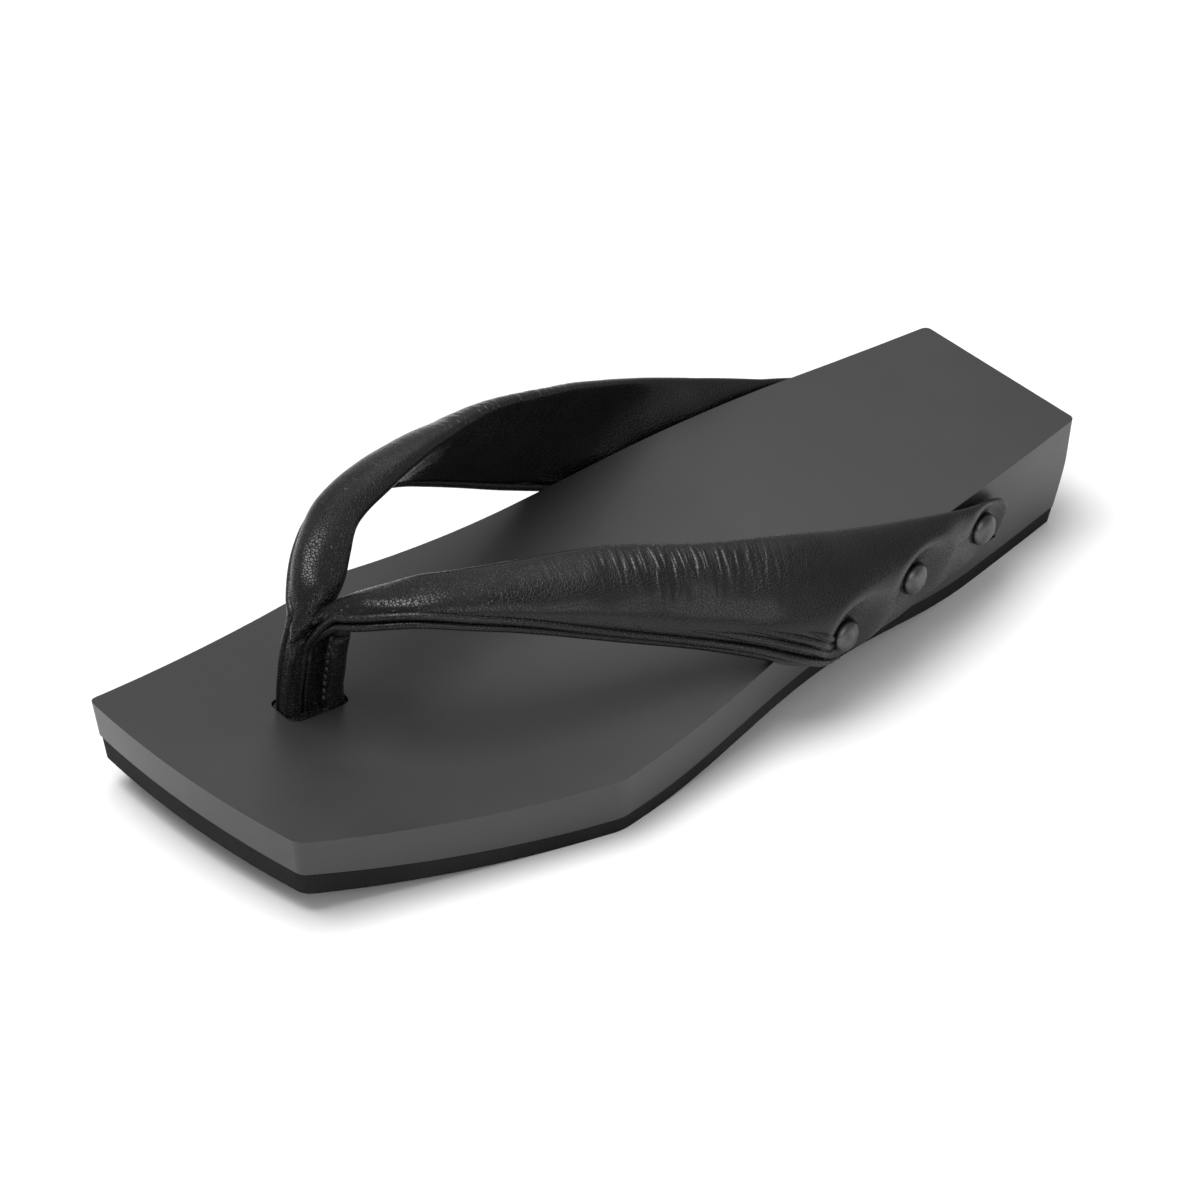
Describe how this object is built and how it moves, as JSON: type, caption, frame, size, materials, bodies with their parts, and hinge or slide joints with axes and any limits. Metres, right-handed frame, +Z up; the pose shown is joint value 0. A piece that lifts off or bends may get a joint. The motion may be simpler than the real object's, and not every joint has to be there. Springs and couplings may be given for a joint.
{
  "type": "geta sandal",
  "caption": "Flat-soled geta sandal: a six-cornered dark wooden platform on a rubber outsole, with a padded leather thong strap nailed to both sides.",
  "frame": {"origin": "on the ground under the middle of the platform's length and width", "axes": "+Y towards the heel, so the toe points to -Y; +X towards the wearer's outer (lateral) side; +Z up"},
  "size_m": [0.1096, 0.255, 0.0604],
  "materials": {
    "painted_wood": "satin black paint",
    "rubber": "matt black",
    "leather": "pebbled black, soft shine",
    "nail_metal": "dark gunmetal"
  },
  "bodies": {
    "root": {"platform": "painted_wood", "outsole": "rubber", "straps": "leather", "nail_lateral_front": "nail_metal", "nail_lateral_middle": "nail_metal", "nail_lateral_rear": "nail_metal", "nail_medial_front": "nail_metal", "nail_medial_middle": "nail_metal", "nail_medial_rear": "nail_metal"}
  },
  "joints": []
}
